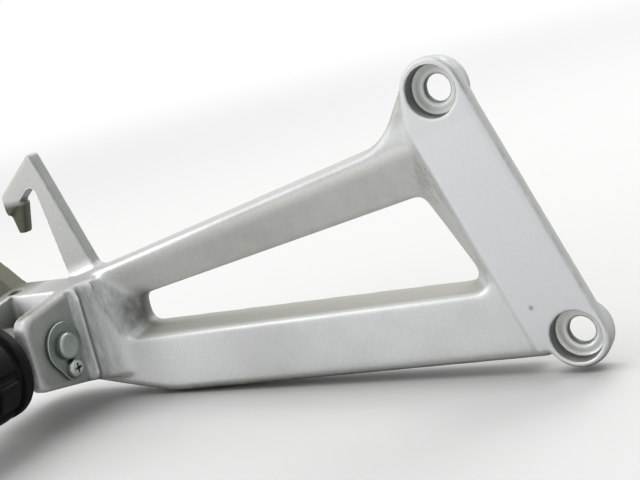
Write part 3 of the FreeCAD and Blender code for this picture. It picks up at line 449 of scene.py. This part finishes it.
# Sheen and relief: the rubbed faces are smooth, and the mould's skin is dull and pitted.
RUBBED_SHEEN, NECK_SHEEN, CREST_SHEEN, SKIN_SHEEN = (0.40, 0.50), 0.62, 0.6, 0.58
SKIN_RELIEF, RUBBED_RELIEF, RELIEF_DEPTH = 0.9, 0.12, 0.0001
rubbed_sheen = put(tree, "MapRange", {"Value": mottle.outputs["Fac"], "From Min": NOISE_LOW,
                                      "From Max": NOISE_HIGH, "To Min": RUBBED_SHEEN[0],
                                      "To Max": RUBBED_SHEEN[1]})
neck_sheen = put(tree, "Mix", {0: neck_light_and_sheen, 2: rubbed_sheen.outputs[0], 3: NECK_SHEEN})
crest_sheen = put(tree, "Mix", {0: near_crest, 2: neck_sheen.outputs[0], 3: CREST_SHEEN})
sheen = put(tree, "Mix", {0: polished, 2: SKIN_SHEEN, 3: crest_sheen.outputs[0]})
relief = put(tree, "Mix", {0: polished, 2: skin.outputs["Fac"], 3: mottle.outputs["Fac"]})
depth = put(tree, "Mix", {0: polished, 2: SKIN_RELIEF, 3: RUBBED_RELIEF})
bump = put(tree, "Bump", {"Strength": depth.outputs[0], "Distance": RELIEF_DEPTH,
                          "Height": relief.outputs[0]})
surface = put(tree, "BsdfPrincipled", {"Base Color": colour.outputs[2], "Metallic": 0.7,
                                       "Roughness": sheen.outputs[0], "Normal": bump.outputs[0]})
put(tree, "OutputMaterial", {"Surface": surface.outputs[0]})
wear(casting, alloy)
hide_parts("bracket")
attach(casting, "bracket_body")


# Pivot pin and its keeper plate: mild steel, turned and stamped, then zinc plated and dulled to a grey
# green.  The plate lies on the front cheek of the head, and the pin stands through it with the lathe's
# rings on its end, drawn wide enough to show.
PIN_RADIUS, PIN_FIT = 0.0050, 0.00002
LATHE_PITCH = 0.0009
BLOTCH_MM, SCUFF_MM = 3.0, 0.5
EDGE_ROUNDING, EDGE_TURN, EDGE_BRIGHT = 0.0007, (0.995, 0.85), 0.8
PLATE_DIRT_SHADE_REACH = 0.0025
SCUFF_DEPTH, RING_SHARE = 0.00006, 0.5
zinc, tree = new_material("dulled_zinc_plate")
coords = put(tree, "TexCoord")
place = coords.outputs["Object"]
facing = put(tree, "SeparateXYZ", {"Vector": coords.outputs["Normal"]})
from_pin = put(tree, "VectorMath", {0: place, 1: (PIN_X, PIN_Y, PIN_Z)}, operation="SUBTRACT")
pin_plane = put(tree, "VectorMath", {0: from_pin.outputs[0], 1: (0, 1, 1)}, operation="MULTIPLY")
pin_reach = put(tree, "VectorMath", {0: pin_plane.outputs[0]}, operation="LENGTH").outputs["Value"]
ring_phase = put(tree, "Math", {0: pin_reach, 1: 2 * np.pi / LATHE_PITCH}, operation="MULTIPLY")
rings = put(tree, "Math", {0: ring_phase.outputs[0]}, operation="SINE")
on_end = put(tree, "MapRange", {"Value": facing.outputs["X"], "From Min": 0.7, "From Max": 0.95})
on_pin = put(tree, "Math", {0: pin_reach, 1: PIN_RADIUS + PIN_FIT}, operation="LESS_THAN")
turned = put(tree, "Math", {0: rings.outputs[0], 1: on_end.outputs[0]}, operation="MULTIPLY")
pin_turned = put(tree, "Math", {0: turned.outputs[0], 1: on_pin.outputs[0]},
                 operation="MULTIPLY").outputs[0]
blotch = put(tree, "TexNoise", {"Vector": place, "Scale": MM / BLOTCH_MM, "Detail": 4.0, "Roughness": 0.6})
scuff = put(tree, "TexNoise", {"Vector": place, "Scale": MM / SCUFF_MM, "Detail": 2.0})
stamped = put(tree, "Mix", {0: blotch.outputs["Fac"], 6: linear("#666F69"), 7: linear("#8C958E")},
              data_type="RGBA")
turned_tone = put(tree, "Mix", {0: blotch.outputs["Fac"], 6: linear("#8A938E"), 7: linear("#A5ADA8")},
                  data_type="RGBA")
plated = put(tree, "Mix", {0: on_pin.outputs[0], 6: stamped.outputs[2], 7: turned_tone.outputs[2]},
             data_type="RGBA")
ring_level = put(tree, "MapRange", {"Value": pin_turned, "From Min": -1.0, "To Min": 0.9, "To Max": 1.08})
tinted = put(tree, "VectorMath", {0: plated.outputs[2], "Scale": ring_level.outputs[0]}, operation="SCALE")
# Painted highlight: the rounded edges of the pin and plate are lightened.
edge = put(tree, "Bevel", {"Radius": EDGE_ROUNDING}, samples=6)
plain = put(tree, "NewGeometry").outputs["Normal"]
turn = put(tree, "VectorMath", {0: edge.outputs[0], 1: plain}, operation="DOT_PRODUCT").outputs["Value"]
zinc_edge_highlight = put(tree, "MapRange", {"Value": turn, "From Min": EDGE_TURN[0], "From Max": EDGE_TURN[1],
                              "To Max": EDGE_BRIGHT}).outputs[0]
rubbed_and_highlit = put(tree, "Mix", {0: zinc_edge_highlight, 6: tinted.outputs[0], 7: linear("#D3DAD6")}, data_type="RGBA")
# Dirt and painted shade where the plate meets the cheek and the pin.
corner = put(tree, "AmbientOcclusion", {"Distance": PLATE_DIRT_SHADE_REACH}, samples=8)
dirt_and_shade = put(tree, "MapRange", {"Value": corner.outputs["AO"], "From Min": 0.75, "From Max": 0.35,
                              "To Max": 0.7})
colour = put(tree, "Mix", {0: dirt_and_shade.outputs[0], 6: rubbed_and_highlit.outputs[2], 7: linear("#2E302C")},
             data_type="RGBA")
gloss = put(tree, "MapRange", {"Value": blotch.outputs["Fac"], "From Min": NOISE_LOW,
                               "From Max": NOISE_HIGH, "To Min": 0.3, "To Max": 0.44})
height = put(tree, "Math", {0: pin_turned, 1: RING_SHARE, 2: scuff.outputs["Fac"]},
             operation="MULTIPLY_ADD")
bump = put(tree, "Bump", {"Strength": 0.25, "Distance": SCUFF_DEPTH, "Height": height.outputs[0],
                          "Normal": edge.outputs[0]})
surface = put(tree, "BsdfPrincipled", {"Base Color": colour.outputs[2], "Metallic": 1.0,
                                       "Roughness": gloss.outputs[0], "Normal": bump.outputs[0]})
put(tree, "OutputMaterial", {"Surface": surface.outputs[0]})
wear(nodes["pivot_pin"], zinc)
wear(nodes["pin_plate"], zinc)


# Keeper screw and spring washer: hardened steel with a brighter, newer zinc finish.  The screw has a rolled
# thread in the cheek and a pressed cross recess, darkened with dirt and painted shade.
FLAKE_MM, FLAKE_DEPTH = 1.6, 0.00005
RECESS_DIRT_SHADE_REACH = 0.0014
SCREW_EDGE = 0.0003
bright_zinc, tree = new_material("bright_zinc_steel")
coords = put(tree, "TexCoord")
place = coords.outputs["Object"]
blotch = put(tree, "TexNoise", {"Vector": place, "Scale": MM / FLAKE_MM, "Detail": 3.0, "Roughness": 0.6})
plated = put(tree, "Mix", {0: blotch.outputs["Fac"], 6: linear("#9AA09A"), 7: linear("#C4C8C2")},
             data_type="RGBA")
# Dirt and painted shade in the cross recess.
corner = put(tree, "AmbientOcclusion", {"Distance": RECESS_DIRT_SHADE_REACH}, samples=8)
dirt_and_shade = put(tree, "MapRange", {"Value": corner.outputs["AO"], "From Min": 0.7, "From Max": 0.3,
                              "To Max": 0.9})
colour = put(tree, "Mix", {0: dirt_and_shade.outputs[0], 6: plated.outputs[2], 7: linear("#1E1F1B")},
             data_type="RGBA")
edge = put(tree, "Bevel", {"Radius": SCREW_EDGE}, samples=6)
bump = put(tree, "Bump", {"Strength": 0.2, "Distance": FLAKE_DEPTH, "Height": blotch.outputs["Fac"],
                          "Normal": edge.outputs[0]})
surface = put(tree, "BsdfPrincipled", {"Base Color": colour.outputs[2], "Metallic": 1.0, "Roughness": 0.3,
                                       "Normal": bump.outputs[0]})
put(tree, "OutputMaterial", {"Surface": surface.outputs[0]})
wear(nodes["pin_screw"], bright_zinc)
wear(nodes["spring_washer"], bright_zinc)


# Footpeg bar: an aluminium casting with a flat lug that turns on the pivot pin.  Its skin is as cast, dull
# and dirty, and the rubber hides most of it.
BAR_SKIN_MM, BAR_SKIN_DEPTH = 1.0, 0.0001
BAR_STAIN_MM = 5.0
BAR_EDGE = 0.0006
bar_alloy, tree = new_material("dull_cast_aluminium")
coords = put(tree, "TexCoord")
place = coords.outputs["Object"]
skin = put(tree, "TexNoise", {"Vector": place, "Scale": MM / BAR_SKIN_MM, "Detail": 4.0, "Roughness": 0.6})
stain = put(tree, "TexNoise", {"Vector": place, "Scale": MM / BAR_STAIN_MM, "Detail": 3.0})
colour = put(tree, "Mix", {0: stain.outputs["Fac"], 6: linear("#64655D"), 7: linear("#8E8E85")},
             data_type="RGBA")
edge = put(tree, "Bevel", {"Radius": BAR_EDGE}, samples=6)
bump = put(tree, "Bump", {"Strength": 0.6, "Distance": BAR_SKIN_DEPTH, "Height": skin.outputs["Fac"],
                          "Normal": edge.outputs[0]})
surface = put(tree, "BsdfPrincipled", {"Base Color": colour.outputs[2], "Metallic": 1.0, "Roughness": 0.58,
                                       "Normal": bump.outputs[0]})
put(tree, "OutputMaterial", {"Surface": surface.outputs[0]})
wear(nodes["peg_bar"], bar_alloy)


# Footpeg rubber: a moulded black sleeve, pushed over the bar's barb, with tread blocks in rows.  Its edges
# are soft, boots have rubbed it to a slight sheen, and a little pale dust lies on it.
SLEEVE_ROUNDS, SLEEVE_SHARE = 4, 0.5
PORE_MM, PORE_DEPTH = 0.6, 0.00008
DUST_MM = 7.0


def sleeve_softness(points):
    """1 all over: every edge of the sleeve comes from the mould."""
    return np.ones(len(points))


sleeve = eased(nodes["peg_rubber"], "peg_sleeve", SLEEVE_ROUNDS, sleeve_softness, SLEEVE_SHARE)
sleeve_rubber, tree = new_material("moulded_black_rubber")
coords = put(tree, "TexCoord")
place = coords.outputs["Object"]
pores = put(tree, "TexNoise", {"Vector": place, "Scale": MM / PORE_MM, "Detail": 3.0, "Roughness": 0.6})
dust = put(tree, "TexNoise", {"Vector": place, "Scale": MM / DUST_MM, "Detail": 4.0, "Roughness": 0.65})
dusting = put(tree, "MapRange", {"Value": dust.outputs["Fac"], "From Min": 0.45, "From Max": 0.75,
                                 "To Max": 0.6})
colour = put(tree, "Mix", {0: dusting.outputs[0], 6: linear("#050706"), 7: linear("#0E1211")},
             data_type="RGBA")
sheen = put(tree, "MapRange", {"Value": dust.outputs["Fac"], "From Min": NOISE_LOW, "From Max": NOISE_HIGH,
                               "To Min": 0.4, "To Max": 0.58})
bump = put(tree, "Bump", {"Strength": 0.3, "Distance": PORE_DEPTH, "Height": pores.outputs["Fac"]})
surface = put(tree, "BsdfPrincipled", {"Base Color": colour.outputs[2], "Roughness": sheen.outputs[0],
                                       "IOR": 1.52, "Specular IOR Level": 0.12, "Normal": bump.outputs[0]})
put(tree, "OutputMaterial", {"Surface": surface.outputs[0]})
wear(sleeve, sleeve_rubber)
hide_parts("peg_rubber")
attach(sleeve, "peg_body")


# Floor: a plain pale floor in matt paint, which the heel of the lower arm stands on.  It fades into the
# white surroundings, and a painted shadow darkens it close under the object.
FLOOR_GAP = 0.0001
FLOOR_Z = cad_box[0][2] - FLOOR_GAP
SHADE_REACH = 0.05
FLOOR_HALF = 12.0
FADE_FROM, FADE_TO = 0.35, 1.6
MIDDLE = (-0.1, -0.03, -0.01)
floor_corners = np.array([(-1, -1), (1, -1), (1, 1), (-1, 1)]) * FLOOR_HALF
floor_mesh = bpy.data.meshes.new("floor")
floor_mesh.from_pydata([(x, y, FLOOR_Z) for x, y in floor_corners.tolist()], [], [(0, 1, 2, 3)])
floor = bpy.data.objects.new("floor", floor_mesh)
bpy.context.scene.collection.objects.link(floor)
floor_paint, tree = new_material("pale_matt_paint")
coords = put(tree, "TexCoord")
away = put(tree, "VectorMath", {0: coords.outputs["Object"], 1: MIDDLE}, operation="DISTANCE")
fade = put(tree, "MapRange", {"Value": away.outputs["Value"], "From Min": FADE_FROM, "From Max": FADE_TO},
           interpolation_type="SMOOTHSTEP")
ray = put(tree, "LightPath")
seen = put(tree, "Math", {0: ray.outputs["Is Camera Ray"], 1: ray.outputs["Is Glossy Ray"]},
           operation="MAXIMUM")
seen = put(tree, "Math", {0: seen.outputs[0], 1: ray.outputs["Is Transmission Ray"]}, operation="MAXIMUM")
faded = put(tree, "Math", {0: fade.outputs[0], 1: seen.outputs[0]}, operation="MULTIPLY")
# Painted shadow: the floor is darkened where the object is close above it.
under = put(tree, "AmbientOcclusion", {"Distance": SHADE_REACH}, samples=16)
painted_shadow = put(tree, "MapRange", {"Value": under.outputs["AO"], "From Min": 0.7, "From Max": 0.25,
                              "To Max": 0.6})
top = put(tree, "Mix", {0: painted_shadow.outputs[0], 6: linear("#E2E2E1"), 7: linear("#3A3A36")}, data_type="RGBA")
surface = put(tree, "BsdfPrincipled", {"Base Color": top.outputs[2], "Roughness": 0.5})
white = put(tree, "Emission", {"Color": linear("#FFFFFF"), "Strength": 1.0})
blended = put(tree, "MixShader", {0: faded.outputs[0], 1: surface.outputs[0], 2: white.outputs[0]})
put(tree, "OutputMaterial", {"Surface": blended.outputs[0]})
floor_mesh.materials.append(floor_paint)


# Surroundings: a white studio, seen by the camera and in the metal at full white, with three large soft
# lamps.  The room lights the object at about half of that white.
AMBIENT = 0.52
world = bpy.data.worlds.new("studio")
bpy.context.scene.world = world
world.use_nodes = True
tree = world.node_tree
tree.nodes.clear()
ray = put(tree, "LightPath")
seen = put(tree, "Math", {0: ray.outputs["Is Camera Ray"], 1: ray.outputs["Is Glossy Ray"]},
           operation="MAXIMUM")
seen = put(tree, "Math", {0: seen.outputs[0], 1: ray.outputs["Is Transmission Ray"]}, operation="MAXIMUM")
strength = put(tree, "MapRange", {"Value": seen.outputs[0], "To Min": AMBIENT, "To Max": 1.0})
sky = put(tree, "Background", {"Color": linear("#FFFFFF"), "Strength": strength.outputs[0]})
put(tree, "OutputWorld", {"Surface": sky.outputs[0]})


def standing(place, right, back):
    """The matrix of a thing at a place, with its Z along back and its X along right, made square to it."""
    back = np.array(back, float) / np.linalg.norm(back)
    right = np.array(right, float) - back * np.dot(right, back)
    right /= np.linalg.norm(right)
    up = np.cross(back, right)
    return Matrix([[right[i], up[i], back[i], place[i]] for i in range(3)] + [[0, 0, 0, 1]])


STEEP = 0.9


def soft_light(name, place, size, watts):
    """A square area light at a place, whose face looks at the middle of the object.

    One of its sides is level, or lies along the object where the light is steep.
    """
    lamp = bpy.data.lights.new(name, "AREA")
    lamp.shape = "SQUARE"
    lamp.size = size
    lamp.energy = watts
    made = bpy.data.objects.new(name, lamp)
    bpy.context.scene.collection.objects.link(made)
    back = np.subtract(place, MIDDLE)
    back /= np.linalg.norm(back)
    beside = (0.0, 1.0, 0.0) if abs(back[2]) > STEEP else (0.0, 0.0, 1.0)
    made.matrix_world = standing(place, np.cross(beside, back), back)


soft_light("overhead", place=(-0.45, 0.1, 1.0), size=0.9, watts=5.5)
soft_light("back_light", place=(0.1, 0.9, 0.8), size=0.7, watts=5.0)
soft_light("front_fill", place=(-0.85, -0.75, 0.35), size=0.6, watts=3.6)


# Camera: a long lens held a little above the bracket and to its front, tilted as the photograph was.
# Its place and directions are those of the camera that was fitted to the photograph.
LENS_MM, SENSOR_MM = 73.125, 36.0
NEAREST, FARTHEST = 0.01, 50.0
CAMERA_PLACE = (0.16182, -0.37938, 0.08843)
CAMERA_BACK = (0.5165, -0.8323, 0.2011)
CAMERA_RIGHT = (0.85, 0.4701, -0.2376)
camera = bpy.data.cameras.new("camera")
camera.lens = LENS_MM
camera.sensor_width = SENSOR_MM
camera.clip_start = NEAREST
camera.clip_end = FARTHEST
viewer = bpy.data.objects.new("camera", camera)
bpy.context.scene.collection.objects.link(viewer)
viewer.matrix_world = standing(CAMERA_PLACE, CAMERA_RIGHT, CAMERA_BACK)
bpy.context.scene.camera = viewer
bpy.context.scene.view_settings.view_transform = "Standard"
